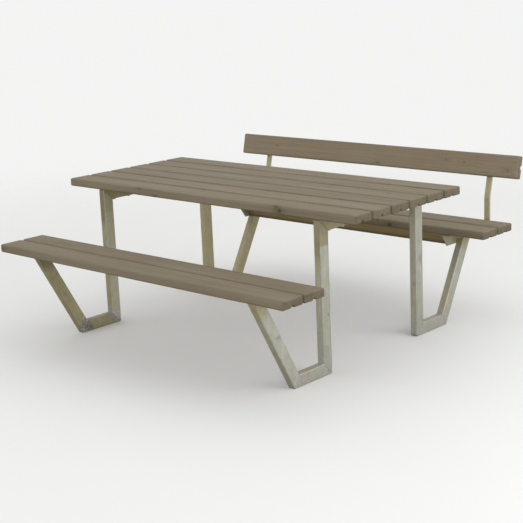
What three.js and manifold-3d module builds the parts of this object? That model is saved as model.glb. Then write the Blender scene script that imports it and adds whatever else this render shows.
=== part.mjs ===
// Picnic table with two benches, the rear one with a backrest, on two welded end frames.
// Millimetres, +Z up. X runs along the planks and +Y points to the bench with the backrest.
// The origin is on the ground, under the middle of the whole table.
import * as THREE from "three";
import { mergeVertices } from "three/addons/utils/BufferGeometryUtils.js";
import Module from "manifold-3d";

const manifold = await Module();
manifold.setup();

// ---- Driving dimensions ----
const CLEARANCE = 0.3; // between pieces that touch

const PLANK_LENGTH = 1770;
const PLANK_WIDTH = 120;
const PLANK_THICKNESS = 38;
const PLANK_GAP = 8;
const PLANK_ARRIS = 8;
const PLANK_END_ROUNDING = 6;
const GROOVE_WIDTH = 28; // relief groove along the underside of each plank
const GROOVE_DEPTH = 10;
const TABLE_PLANKS = 6;
const SEAT_PLANKS = 2;

const TABLE_HEIGHT = 711;
const SEAT_HEIGHT = 464;
const SEAT_OUTER_Y = 819; // outer edge of each bench, from the middle of the table top

const TUBE_WIDTH = 35; // along X
const TUBE_DEPTH = 55; // in the plane of the end frame
const TUBE_WALL = 3;
const TUBE_CORNER = 4;
const FRAME_OUTER_X = 693;
const UPRIGHT_OUTER_Y = 362;
const FOOT_OUTER_Y = 550;
const SLANTED_LEG_TOP_Y = 782; // outer face of the slanted leg, where it meets the seat

const SEAT_STEEL_WIDTH = 41; // the steel on each slanted leg: plates in front, angles at the rear
const SEAT_STEEL_THICKNESS = 6;
const ANGLE_HEIGHT = 62;
const ANGLE_NOSE = 44; // how far the slanted cut runs back at the inner end

const RAIL_THICKNESS = 38; // wooden rail under the bench with the backrest
const RAIL_HEIGHT = 62;
const RAIL_FRONT_Y = 640;

const POST_WIDTH = 30; // bent flat bar that carries the backrest
const POST_THICKNESS = 10;
const POST_X = 715;
const POST_FRONT_Y = 870;
const POST_KINK_Z = 557;
const POST_ARM_START_Y = 596;
const POST_LENGTH_ABOVE_KINK = 204;
const POST_BEND_RADIUS = 35;
const BACKREST_LEAN = THREE.MathUtils.degToRad(13);
const BACKREST_WIDTH = 110;
const BACKREST_ABOVE_KINK = 104;

const TABLE_SCREW = { length: 85, shankRadius: 4, headRadius: 7.5, headHeight: 5.3 };
const SEAT_SCREW = { length: 32, shankRadius: 3, headRadius: 5.2, headHeight: 3.5 };
const POST_SCREW = { length: 38, shankRadius: 4, headRadius: 7.5, headHeight: 5.3 };
const SCREW_FLANGE_LIP = 1.2; // how far the flange stands out past the head
const SCREW_FLANGE_HEIGHT = 1.6;
const SCREW_TIP_LENGTH = 6;
const TABLE_SCREW_LIMIT_Y = 285; // the uprights are in the way of a screw further out
const OUTER_SEAT_SCREW_Y = 706; // likewise the slanted leg

// ---- Sizes that follow from the driving dimensions ----
const TABLE_UNDERSIDE = TABLE_HEIGHT - PLANK_THICKNESS;
const SEAT_UNDERSIDE = SEAT_HEIGHT - PLANK_THICKNESS;
const SEAT_DEPTH = SEAT_PLANKS * PLANK_WIDTH + (SEAT_PLANKS - 1) * PLANK_GAP;
const SEAT_INNER_Y = SEAT_OUTER_Y - SEAT_DEPTH;
const FRAME_X = FRAME_OUTER_X - TUBE_WIDTH / 2;
const LEG_SLOPE = (SLANTED_LEG_TOP_Y - FOOT_OUTER_Y) / SEAT_UNDERSIDE;
const LEG_TOP = SEAT_UNDERSIDE - SEAT_STEEL_THICKNESS - 1.5 * CLEARANCE;
const SEAT_STEEL_INNER_X = FRAME_OUTER_X - TUBE_WIDTH - CLEARANCE - SEAT_STEEL_THICKNESS;
const SEAT_STEEL_LENGTH = SLANTED_LEG_TOP_Y - SEAT_INNER_Y;
const RAIL_LENGTH = 2 * (SEAT_STEEL_INNER_X - CLEARANCE);
const INNER_SEAT_SCREW_Y = SEAT_INNER_Y + PLANK_WIDTH / 2;

const CORNER_SEGMENTS = 3;
const BEND_SEGMENTS = 6;
const SCREW_SEGMENTS = 8;
const HOLE_SEGMENTS = 10;

const STAINED_WOOD = { color: 0x8c8271, roughness: 0.8, metalness: 0 };
const GALVANISED_STEEL = { color: 0x9b9882, roughness: 0.55, metalness: 0.6 };
const ZINC_PLATED_STEEL = { color: 0xa5a7a4, roughness: 0.4, metalness: 0.8 };

const SIDES = { left: -1, right: 1 };
const BENCHES = { front: -1, rear: 1 };
const X_AXIS = new THREE.Vector3(1, 0, 0);

const assembly = new THREE.Group();

// ---- Helpers ----
function piece(name, geometry, finish) {
  const mesh = new THREE.Mesh(geometry, new THREE.MeshStandardMaterial(finish));
  mesh.name = name;
  return mesh;
}

function place(mesh, x, y, z) {
  mesh.position.set(x, y, z);
  assembly.add(mesh);
  return mesh;
}

// Turns a mesh so that its own x stays on X and its own z points along a direction in the YZ plane.
function aim(mesh, direction) {
  const normal = new THREE.Vector3().crossVectors(direction, X_AXIS);
  mesh.setRotationFromMatrix(new THREE.Matrix4().makeBasis(X_AXIS, normal, direction));
  return mesh;
}

function roundedRectangle(path, width, height, radius) {
  const w = width / 2;
  const h = height / 2;
  path.absarc(w - radius, h - radius, radius, 0, Math.PI / 2);
  path.absarc(-w + radius, h - radius, radius, Math.PI / 2, Math.PI);
  path.absarc(-w + radius, -h + radius, radius, Math.PI, 1.5 * Math.PI);
  path.absarc(w - radius, -h + radius, radius, 1.5 * Math.PI, 2 * Math.PI);
  path.closePath();
  return path;
}

// A straight bar. Its section is drawn in x and y, and it runs along z from 0 to its length.
// An end with a slope is cut on a plane that leans along y by that slope.
function bar(section, length, startSlope = 0, endSlope = 0) {
  const settings = { depth: length, bevelEnabled: false, curveSegments: CORNER_SEGMENTS };
  const geometry = new THREE.ExtrudeGeometry(section, settings);
  const points = geometry.attributes.position;
  for (let i = 0; i < points.count; i += 1) {
    const slope = points.getZ(i) > length / 2 ? endSlope : startSlope;
    points.setZ(i, points.getZ(i) + slope * points.getY(i));
  }
  geometry.computeVertexNormals();
  return geometry;
}

function solidOf(geometry) {
  const bare = new THREE.BufferGeometry();
  bare.setAttribute("position", geometry.getAttribute("position"));
  bare.setIndex(geometry.index);
  const merged = mergeVertices(bare, 1e-3);
  return new manifold.Manifold(
    new manifold.Mesh({
      numProp: 3,
      vertProperties: merged.getAttribute("position").array,
      triVerts: new Uint32Array(merged.index.array),
    }),
  );
}

function geometryOf(solid) {
  const mesh = solid.getMesh();
  const geometry = new THREE.BufferGeometry();
  geometry.setAttribute("position", new THREE.BufferAttribute(mesh.vertProperties, 3));
  geometry.setIndex(new THREE.BufferAttribute(mesh.triVerts, 1));
  geometry.computeVertexNormals();
  return geometry;
}

// Cuts a round hole in a mesh, along the z axis of a screw, between two heights on that axis.
function drill(mesh, screw, radius, from, to) {
  assembly.updateMatrixWorld(true);
  const bit = new THREE.CylinderGeometry(radius, radius, to - from, HOLE_SEGMENTS);
  bit.rotateX(Math.PI / 2);
  bit.translate(0, 0, (from + to) / 2);
  bit.applyMatrix4(mesh.matrixWorld.clone().invert().multiply(screw.matrixWorld));
  mesh.geometry = geometryOf(solidOf(mesh.geometry).subtract(solidOf(bit)));
}

// ---- Planks ----
// The section has rounded arrises, and one wide groove in the middle of the face at -y.
function plankSection(width) {
  const w = width / 2;
  const t = PLANK_THICKNESS / 2;
  const r = PLANK_ARRIS;
  const g = GROOVE_WIDTH / 2;
  const shape = new THREE.Shape();
  shape.moveTo(-g, -t);
  shape.bezierCurveTo(-g / 2, -t, -g / 2, -t + GROOVE_DEPTH, 0, -t + GROOVE_DEPTH);
  shape.bezierCurveTo(g / 2, -t + GROOVE_DEPTH, g / 2, -t, g, -t);
  shape.absarc(w - r, -t + r, r, -Math.PI / 2, 0);
  shape.absarc(w - r, t - r, r, 0, Math.PI / 2);
  shape.absarc(-w + r, t - r, r, Math.PI / 2, Math.PI);
  shape.absarc(-w + r, -t + r, r, Math.PI, 1.5 * Math.PI);
  shape.closePath();
  return shape;
}

// A plank along X, with its groove downwards and the edges of its ends rounded over.
function plank(name, width = PLANK_WIDTH) {
  const length = PLANK_LENGTH;
  const profile = bar(plankSection(width), length).translate(0, 0, -length / 2);
  const alongX = new THREE.Matrix4().makeBasis(
    new THREE.Vector3(0, 1, 0),
    new THREE.Vector3(0, 0, 1),
    new THREE.Vector3(1, 0, 0),
  );
  const plan = roundedRectangle(new THREE.Shape(), length, width, PLANK_END_ROUNDING);
  const side = roundedRectangle(new THREE.Shape(), length, PLANK_THICKNESS, PLANK_END_ROUNDING);
  const fromAbove = bar(plan, 2 * PLANK_THICKNESS).translate(0, 0, -PLANK_THICKNESS);
  const fromTheSide = bar(side, 2 * width).translate(0, 0, -width).rotateX(Math.PI / 2);
  const solid = solidOf(profile.applyMatrix4(alongX))
    .intersect(solidOf(fromAbove))
    .intersect(solidOf(fromTheSide));
  return piece(name, geometryOf(solid), STAINED_WOOD);
}

function tableTop() {
  const pitch = PLANK_WIDTH + PLANK_GAP;
  const planks = [];
  for (let i = 0; i < TABLE_PLANKS; i += 1) {
    const y = (i - (TABLE_PLANKS - 1) / 2) * pitch;
    const z = TABLE_HEIGHT - PLANK_THICKNESS / 2;
    planks.push(place(plank(`table_plank_${i + 1}`), 0, y, z));
  }
  return planks;
}

// The planks of one bench, from its inner edge outwards.
function seat(bench) {
  const pitch = PLANK_WIDTH + PLANK_GAP;
  const planks = [];
  for (let i = 0; i < SEAT_PLANKS; i += 1) {
    const y = BENCHES[bench] * (SEAT_INNER_Y + PLANK_WIDTH / 2 + i * pitch);
    const z = SEAT_HEIGHT - PLANK_THICKNESS / 2;
    planks.push(place(plank(`${bench}_seat_plank_${i + 1}`), 0, y, z));
  }
  return planks;
}

// ---- End frames ----
function tubeSection() {
  const shape = roundedRectangle(new THREE.Shape(), TUBE_WIDTH, TUBE_DEPTH, TUBE_CORNER);
  const bore = roundedRectangle(
    new THREE.Path(),
    TUBE_WIDTH - 2 * TUBE_WALL,
    TUBE_DEPTH - 2 * TUBE_WALL,
    TUBE_CORNER - TUBE_WALL,
  );
  shape.holes.push(bore);
  return shape;
}

// The centre line of one end frame, seen from its side, from the front seat to the rear seat.
function frameCentreLine() {
  const half = TUBE_DEPTH / 2;
  const legInset = half * Math.hypot(1, LEG_SLOPE);
  const legY = (z) => FOOT_OUTER_Y - legInset + z * LEG_SLOPE;
  const uprightY = UPRIGHT_OUTER_Y - half;
  const rearHalf = [
    [uprightY, TABLE_UNDERSIDE - CLEARANCE - half],
    [uprightY, half],
    [legY(half), half],
    [legY(LEG_TOP), LEG_TOP],
  ];
  const frontHalf = rearHalf.map(([y, z]) => [-y, z]).reverse();
  return [...frontHalf, ...rearHalf].map(([y, z]) => new THREE.Vector3(0, y, z));
}

// Seven tubes follow the centre line. They meet on mitred ends, and the top ends are level.
function endFrame(side) {
  const names = [
    "front_slanted_leg",
    "front_foot_bar",
    "front_upright",
    "table_bar",
    "rear_upright",
    "rear_foot_bar",
    "rear_slanted_leg",
  ];
  const line = frameCentreLine();
  const directions = names.map((_, i) => line[i + 1].clone().sub(line[i]).normalize());
  const level = new THREE.Vector3(0, 0, 1);
  const endSlope = (direction, neighbour) => {
    const cut = neighbour ? direction.clone().add(neighbour) : level;
    const normal = new THREE.Vector3().crossVectors(direction, X_AXIS);
    return -normal.dot(cut) / direction.dot(cut);
  };
  const tubes = {};
  names.forEach((name, i) => {
    const direction = directions[i];
    const start = endSlope(direction, directions[i - 1]);
    const end = endSlope(direction, directions[i + 1]);
    const length = line[i].distanceTo(line[i + 1]) - CLEARANCE;
    const mesh = piece(`${side}_${name}`, bar(tubeSection(), length, start, end), GALVANISED_STEEL);
    const from = line[i].clone().addScaledVector(direction, CLEARANCE / 2);
    aim(place(mesh, SIDES[side] * FRAME_X, from.y, from.z), direction);
    tubes[name] = mesh;
  });
  return tubes;
}

// The flat steel plate that carries the front bench on one slanted leg. It lies on the leg's end.
function frontSeatPlate(side) {
  const box = new THREE.BoxGeometry(SEAT_STEEL_WIDTH, SEAT_STEEL_LENGTH, SEAT_STEEL_THICKNESS);
  const mesh = piece(`${side}_front_seat_plate`, box, GALVANISED_STEEL);
  const x = SIDES[side] * (SEAT_STEEL_INNER_X + SEAT_STEEL_WIDTH / 2);
  const y = -(SEAT_INNER_Y + SEAT_STEEL_LENGTH / 2);
  return place(mesh, x, y, SEAT_UNDERSIDE - CLEARANCE - SEAT_STEEL_THICKNESS / 2);
}

// The steel angle that carries the rear bench on one slanted leg. Its level flange lies on the
// leg's end, and its upright flange hangs down the leg's inner side and holds the rail. Its inner
// end is cut back to a nose, and its outer end is cut along the leg.
function rearSeatAngle(side) {
  const s = SIDES[side];
  const section = new THREE.Shape([
    new THREE.Vector2(0, 0),
    new THREE.Vector2(0, ANGLE_HEIGHT),
    new THREE.Vector2(s * SEAT_STEEL_THICKNESS, ANGLE_HEIGHT),
    new THREE.Vector2(s * SEAT_STEEL_THICKNESS, SEAT_STEEL_THICKNESS),
    new THREE.Vector2(s * SEAT_STEEL_WIDTH, SEAT_STEEL_THICKNESS),
    new THREE.Vector2(s * SEAT_STEEL_WIDTH, 0),
  ]);
  const geometry = bar(section, SEAT_STEEL_LENGTH, ANGLE_NOSE / ANGLE_HEIGHT, -LEG_SLOPE);
  const mesh = piece(`${side}_rear_seat_angle`, geometry, GALVANISED_STEEL);
  place(mesh, s * SEAT_STEEL_INNER_X, SEAT_INNER_Y, SEAT_UNDERSIDE - CLEARANCE);
  return aim(mesh, new THREE.Vector3(0, 1, 0));
}

// ---- Rail and backrest ----
function seatRail() {
  const section = roundedRectangle(new THREE.Shape(), RAIL_HEIGHT, RAIL_THICKNESS, PLANK_ARRIS);
  const geometry = bar(section, RAIL_LENGTH);
  geometry.translate(0, 0, -RAIL_LENGTH / 2);
  geometry.rotateY(Math.PI / 2);
  const mesh = piece("rear_seat_rail", geometry, STAINED_WOOD);
  const y = RAIL_FRONT_Y + RAIL_THICKNESS / 2;
  return place(mesh, 0, y, SEAT_UNDERSIDE - CLEARANCE - RAIL_HEIGHT / 2);
}

// The outline of a flat bar seen from its edge: a centre line with its inner corners rounded.
function bentBarOutline(corners, thickness, radius) {
  const ahead = [];
  const behind = [];
  const add = (point, direction) => {
    const offset = new THREE.Vector2(-direction.y, direction.x).multiplyScalar(thickness / 2);
    ahead.push(point.clone().add(offset));
    behind.unshift(point.clone().sub(offset));
  };
  const directions = corners.slice(1).map((corner, i) => corner.clone().sub(corners[i]).normalize());
  add(corners[0], directions[0]);
  for (let i = 1; i < corners.length - 1; i += 1) {
    const turn = directions[i].angle() - directions[i - 1].angle();
    const side = Math.sign(turn);
    const setback = radius * Math.tan(Math.abs(turn) / 2);
    const start = corners[i].clone().addScaledVector(directions[i - 1], -setback);
    const toCentre = new THREE.Vector2(-directions[i - 1].y, directions[i - 1].x);
    const centre = start.clone().addScaledVector(toCentre, side * radius);
    for (let k = 0; k <= BEND_SEGMENTS; k += 1) {
      const angle = (turn * k) / BEND_SEGMENTS;
      const direction = directions[i - 1].clone().rotateAround(new THREE.Vector2(), angle);
      add(start.clone().rotateAround(centre, angle), direction);
    }
  }
  add(corners.at(-1), directions.at(-1));
  return new THREE.Shape([...ahead, ...behind]);
}

// The flat bar runs back under the seat planks, turns up behind them, and leans back at a kink.
function backrestPost(side) {
  const half = POST_THICKNESS / 2;
  const postY = POST_FRONT_Y + half;
  const armZ = SEAT_UNDERSIDE - CLEARANCE - half;
  const kinkZ = POST_KINK_Z - half * Math.tan(BACKREST_LEAN / 2);
  const topY = postY + POST_LENGTH_ABOVE_KINK * Math.sin(BACKREST_LEAN);
  const topZ = kinkZ + POST_LENGTH_ABOVE_KINK * Math.cos(BACKREST_LEAN);
  const corners = [
    new THREE.Vector2(POST_ARM_START_Y, armZ),
    new THREE.Vector2(postY, armZ),
    new THREE.Vector2(postY, kinkZ),
    new THREE.Vector2(topY, topZ),
  ];
  const outline = bentBarOutline(corners, POST_THICKNESS, POST_BEND_RADIUS);
  const geometry = bar(outline, POST_WIDTH);
  geometry.translate(0, 0, -POST_WIDTH / 2);
  const edgeOn = new THREE.Matrix4().makeBasis(
    new THREE.Vector3(0, 1, 0),
    new THREE.Vector3(0, 0, 1),
    new THREE.Vector3(1, 0, 0),
  );
  const mesh = piece(`${side}_backrest_post`, geometry.applyMatrix4(edgeOn), GALVANISED_STEEL);
  return place(mesh, SIDES[side] * POST_X, 0, 0);
}

// A point on the front face of the leaning part of the posts, moved along it and off it.
function onLeaningFace(x, along, behind) {
  const s = Math.sin(BACKREST_LEAN);
  const c = Math.cos(BACKREST_LEAN);
  const y = POST_FRONT_Y + along * s + behind * c;
  const z = POST_KINK_Z + along * c - behind * s;
  return new THREE.Vector3(x, y, z);
}

function backrestPlank() {
  const middle = BACKREST_ABOVE_KINK + BACKREST_WIDTH / 2;
  const centre = onLeaningFace(0, middle, -CLEARANCE - PLANK_THICKNESS / 2);
  const mesh = place(plank("backrest_plank", BACKREST_WIDTH), centre.x, centre.y, centre.z);
  mesh.rotation.x = Math.PI / 2 - BACKREST_LEAN;
  return mesh;
}

// ---- Screws ----
// A coach screw with a flanged hexagon head. It points along z, and its flange bears on z = 0.
function coachScrew(name, { length, shankRadius, headRadius, headHeight }) {
  const flangeRadius = headRadius + SCREW_FLANGE_LIP;
  const profile = [
    [0, -SCREW_FLANGE_HEIGHT],
    [flangeRadius, -SCREW_FLANGE_HEIGHT],
    [flangeRadius, 0],
    [shankRadius, 0],
    [shankRadius, length - SCREW_TIP_LENGTH],
    [0, length],
  ];
  const points = profile.map(([r, z]) => new THREE.Vector2(r, z));
  const body = new THREE.LatheGeometry(points, SCREW_SEGMENTS).rotateX(Math.PI / 2);
  const head = new THREE.CylinderGeometry(headRadius, headRadius, headHeight, 6);
  head.rotateX(Math.PI / 2);
  head.translate(0, 0, -(headHeight + SCREW_FLANGE_HEIGHT) / 2);
  return piece(name, geometryOf(solidOf(body).add(solidOf(head))), ZINC_PLATED_STEEL);
}

// Puts a screw at a point, pointing along a direction, and drills the pieces that it passes.
function driveScrew(name, size, point, direction, ...pieces) {
  const screw = coachScrew(name, size);
  place(screw, point.x, point.y, point.z).position.addScaledVector(direction, -CLEARANCE);
  aim(screw, direction);
  for (const drilled of pieces) {
    drill(drilled, screw, size.shankRadius + 2 * CLEARANCE, 0, size.length + 2 * CLEARANCE);
  }
}

// ---- Assembly ----
const UP = new THREE.Vector3(0, 0, 1);
const BACKREST_FRONT = new THREE.Vector3(0, -Math.cos(BACKREST_LEAN), Math.sin(BACKREST_LEAN));
const tablePlanks = tableTop();
const seatPlanks = { front: seat("front"), rear: seat("rear") };
const backrest = backrestPlank();
seatRail();

for (const side of Object.keys(SIDES)) {
  const s = SIDES[side];
  const frame = endFrame(side);
  const barUnderside = TABLE_UNDERSIDE - CLEARANCE - TUBE_DEPTH;
  tablePlanks.forEach((drilled, i) => {
    const limit = TABLE_SCREW_LIMIT_Y;
    const y = THREE.MathUtils.clamp(drilled.position.y, -limit, limit);
    const point = new THREE.Vector3(s * FRAME_X, y, barUnderside);
    driveScrew(`${side}_table_screw_${i + 1}`, TABLE_SCREW, point, UP, frame.table_bar, drilled);
  });

  const steelUnderside = SEAT_UNDERSIDE - CLEARANCE - SEAT_STEEL_THICKNESS;
  const seatSteel = { front: frontSeatPlate(side), rear: rearSeatAngle(side) };
  for (const bench of Object.keys(BENCHES)) {
    [INNER_SEAT_SCREW_Y, OUTER_SEAT_SCREW_Y].forEach((y, i) => {
      const point = new THREE.Vector3(s * FRAME_X, BENCHES[bench] * y, steelUnderside);
      const name = `${side}_${bench}_seat_screw_${i + 1}`;
      driveScrew(name, SEAT_SCREW, point, UP, seatSteel[bench], seatPlanks[bench][i]);
    });
  }

  const post = backrestPost(side);
  seatPlanks.rear.forEach((drilled, i) => {
    const underside = SEAT_UNDERSIDE - CLEARANCE - POST_THICKNESS;
    const point = new THREE.Vector3(s * POST_X, drilled.position.y, underside);
    driveScrew(`${side}_post_screw_${i + 1}`, POST_SCREW, point, UP, post, drilled);
  });
  [1, 3].forEach((quarter, i) => {
    const along = BACKREST_ABOVE_KINK + (quarter * BACKREST_WIDTH) / 4;
    const point = onLeaningFace(s * POST_X, along, POST_THICKNESS);
    const name = `${side}_backrest_screw_${i + 1}`;
    driveScrew(name, POST_SCREW, point, BACKREST_FRONT, post, backrest);
  });
}

// The origin goes to the middle of the table's footprint, on the ground.
const bounds = new THREE.Box3().setFromObject(assembly);
assembly.position.y = -(bounds.min.y + bounds.max.y) / 2;

const picnicTable = new THREE.Group();
picnicTable.add(assembly);
export default picnicTable;
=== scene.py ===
import math
import random
from typing import NamedTuple

import bmesh
import bpy
from mathutils import Matrix, Vector, noise


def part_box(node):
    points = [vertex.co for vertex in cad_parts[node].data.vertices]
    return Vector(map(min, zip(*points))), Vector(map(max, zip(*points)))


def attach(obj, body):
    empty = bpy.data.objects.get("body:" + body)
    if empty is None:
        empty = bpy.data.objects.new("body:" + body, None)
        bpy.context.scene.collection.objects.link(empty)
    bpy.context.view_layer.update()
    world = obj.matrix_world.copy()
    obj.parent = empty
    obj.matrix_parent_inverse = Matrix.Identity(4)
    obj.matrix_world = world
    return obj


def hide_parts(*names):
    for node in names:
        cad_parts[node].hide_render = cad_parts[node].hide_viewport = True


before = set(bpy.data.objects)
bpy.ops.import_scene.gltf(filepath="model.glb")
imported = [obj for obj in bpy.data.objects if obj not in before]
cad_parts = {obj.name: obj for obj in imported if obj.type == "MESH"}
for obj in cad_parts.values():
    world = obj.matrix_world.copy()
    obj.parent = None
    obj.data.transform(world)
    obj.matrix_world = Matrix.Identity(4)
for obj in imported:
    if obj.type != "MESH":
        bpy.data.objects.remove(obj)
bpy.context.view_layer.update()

# Metres. X runs along the planks, and +Y points to the bench with the backrest.
TAU = 2 * math.pi
SIDES = {"left": -1, "right": 1}
BENCHES = {"front": -1, "rear": 1}
SHARP_ANGLE = math.radians(38)

PLANK_ARRIS = 0.008
PLANK_ARRIS_STEPS = 8
PLANK_END_RADIUS = 0.006
PLANK_END_STEPS = 5
PLANK_END_GAP = 0.004
PLANK_STATIONS = 90
PLANK_POINT_STEP = 0.008
PLANK_UNEVENNESS = 0.0004
HUMPS_ALONG = 4
HUMPS_ACROSS = 22
PLANK_FACE_Z = 0.019
GROOVE_HALF_WIDTH = 0.014
GROOVE_DEPTH = 0.010
GROOVE_STEPS = 7
BACKREST_LEAN = math.radians(13)
BACKREST_WIDTH = 0.110
BACKREST_THICKNESS = 0.038

TUBE_WIDTH = 0.035
TUBE_DEPTH = 0.055
TUBE_CORNER = 0.0045
GROUND_CORNER = 0.011
GROUND_STEPS = 4

BEAD_RADIUS = 0.0014
BEAD_SIDES = 8
BEAD_RIPPLE_LENGTH = 0.0035
BEAD_END_TAPER = 0.45
BEAD_END_INSET = 0.004
BEAD_GROUND_GAP = 0.0002
STAIN_AND_SHADE_BEAD_HEIGHT = 0.5

PLATE_CORNER = 0.0008
SEAT_STEEL_THICKNESS = 0.006
ANGLE_NOSE = 0.044
ANGLE_TOE = 0.002
ANGLE_ROOT = 0.0025
ANGLE_HEEL = 0.0006
ANGLE_EDGE = 0.0008
ANGLE_STEPS = 24

POST_THICKNESS = 0.010
POST_BEND_RADIUS = 0.035
POST_KINK_Z = 0.557
POST_CORNER = 0.0018
BEND_STEPS = 10

TABLE_SCREW = {"shank": 0.004, "head": 0.0075, "height": 0.0053}
SEAT_SCREW = {"shank": 0.003, "head": 0.0052, "height": 0.0035}
BACKREST_SCREW_LENGTH = 0.038
CLEARANCE = 0.0003
SCREW_FLANGE_LIP = 0.0012
SCREW_FLANGE_HEIGHT = 0.0016
SCREW_TIP = 0.006
SCREW_TIP_RADIUS = 0.0004
SCREW_EASE = 0.0002
SCREW_CHAMFER = 0.0007
SCREW_SEGMENTS = 36


# ---- Node graphs ----
# How far an offset moves a noise along x, y and z.
NOISE_SHIFT = (1.0, 1.7, 0.6)


class Graph:
    """A material's node tree, built by calls that return sockets."""

    def __init__(self, name, grain=False):
        self.material = bpy.data.materials.new(name)
        self.material.use_nodes = True
        self.tree = self.material.node_tree
        self.surface = self.tree.nodes["Principled BSDF"]
        if grain:
            self.position = self.node("Attribute", {}, attribute_name="grain").outputs["Vector"]
        else:
            self.position = self.node("TexCoord", {}).outputs["Object"]

    def node(self, kind, inputs, **settings):
        made = self.tree.nodes.new("ShaderNode" + kind)
        for key, value in settings.items():
            setattr(made, key, value)
        for key, value in inputs.items():
            self.feed(made.inputs[key], value)
        return made

    def feed(self, socket, value):
        if isinstance(value, bpy.types.NodeSocket):
            self.tree.links.new(value, socket)
        else:
            socket.default_value = value

    def math(self, operation, a, b=0.0):
        return self.node("Math", {0: a, 1: b}, operation=operation).outputs[0]

    def times(self, a, b):
        return self.math("MULTIPLY", a, b)

    def vector(self, operation, a, b=(0, 0, 0)):
        return self.node("VectorMath", {0: a, 1: b}, operation=operation).outputs[0]

    def length(self, a):
        return self.node("VectorMath", {0: a}, operation="LENGTH").outputs["Value"]

    def tinted(self, color, factor):
        return self.node("VectorMath", {0: color, 3: factor}, operation="SCALE").outputs[0]

    def mix(self, factor, a, b):
        return self.node("Mix", {0: factor, 6: a, 7: b}, data_type="RGBA").outputs[2]

    def spread(self, value, low, high, out_low=0.0, out_high=1.0, smooth=False):
        kind = "SMOOTHSTEP" if smooth else "LINEAR"
        inputs = {0: value, 1: low, 2: high, 3: out_low, 4: out_high}
        return self.node("MapRange", inputs, interpolation_type=kind).outputs[0]

    def noise(self, scale, offset=0.0, detail=2.0, roughness=0.5):
        """Noise between 0 and 1, with its own scale along x, y and z, in features per metre."""
        stretched = self.vector("MULTIPLY", self.position, scale)
        moved = self.vector("ADD", stretched, [offset * share for share in NOISE_SHIFT])
        inputs = {"Vector": moved, "Scale": 1.0, "Detail": detail, "Roughness": roughness}
        return self.node("TexNoise", inputs).outputs["Fac"]

    def attribute(self, name):
        return self.node("Attribute", {}, attribute_name=name).outputs["Fac"]

    def centred(self, value, amount):
        """Turns a 0 to 1 value into one from -amount to +amount."""
        return self.spread(value, 0.0, 1.0, -amount, amount)

    def total(self, *values):
        result = values[0]
        for value in values[1:]:
            result = self.math("ADD", result, value)
        return result

    def finish(self, color, metallic, roughness, height, depth):
        bump = self.node("Bump", {"Height": height, "Distance": depth, "Strength": 1.0})
        self.feed(self.surface.inputs["Base Color"], color)
        self.feed(self.surface.inputs["Metallic"], metallic)
        self.feed(self.surface.inputs["Roughness"], roughness)
        self.feed(self.surface.inputs["Normal"], bump.outputs[0])
        return self.material


# ---- Materials ----
WOOD_BROWN = (0.256, 0.199, 0.128, 1)
WOOD_GREY = (0.243, 0.213, 0.153, 1)
WOOD_FRESH = (0.205, 0.150, 0.066, 1)
KNOT_DARK = (0.085, 0.060, 0.040, 1)
RING_SPACING = 0.0034
KNOT_RING_SPACING = 0.0016

# How much shorter a length along the grain counts, in a knot and in the halo of bent grain round it.
KNOT_STRETCH = (0.8, 1, 1)
HALO_STRETCH = (0.38, 1, 1)


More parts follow.
